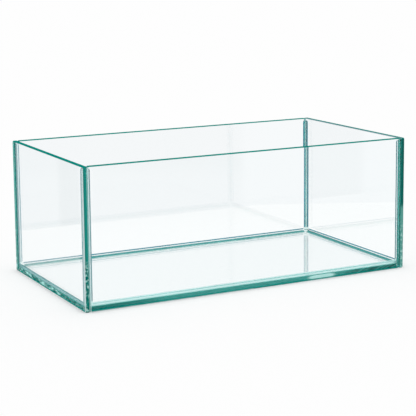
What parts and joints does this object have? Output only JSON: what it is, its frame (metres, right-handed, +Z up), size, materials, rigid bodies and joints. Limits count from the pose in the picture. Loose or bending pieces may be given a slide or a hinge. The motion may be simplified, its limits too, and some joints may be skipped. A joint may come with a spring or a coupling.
{
  "type": "glass aquarium",
  "caption": "Rimless open-top glass tank: five clear float-glass panes with bevelled green edges, bonded and sealed with clear silicone.",
  "frame": {"origin": "middle of the footprint, on the surface that the tank stands on", "axes": "+X along the long front towards its right end, -Y out of the front, +Z up"},
  "size_m": [0.6, 0.32, 0.23],
  "materials": {
    "float_glass": "clear float glass, polished edges that look deep green",
    "clear_silicone": "clear cured silicone, smooth"
  },
  "bodies": {
    "root": {"base_pane": "float_glass", "front_pane": "float_glass", "back_pane": "float_glass", "left_pane": "float_glass", "right_pane": "float_glass", "base_bond_front": "clear_silicone", "base_bond_back": "clear_silicone", "base_bond_left": "clear_silicone", "base_bond_right": "clear_silicone", "base_bead_front": "clear_silicone", "base_bead_back": "clear_silicone", "base_bead_left": "clear_silicone", "base_bead_right": "clear_silicone", "corner_bond_front_left": "clear_silicone", "corner_bond_front_right": "clear_silicone", "corner_bond_back_left": "clear_silicone", "corner_bond_back_right": "clear_silicone", "corner_bead_front_left": "clear_silicone", "corner_bead_front_right": "clear_silicone", "corner_bead_back_left": "clear_silicone", "corner_bead_back_right": "clear_silicone"}
  },
  "joints": []
}
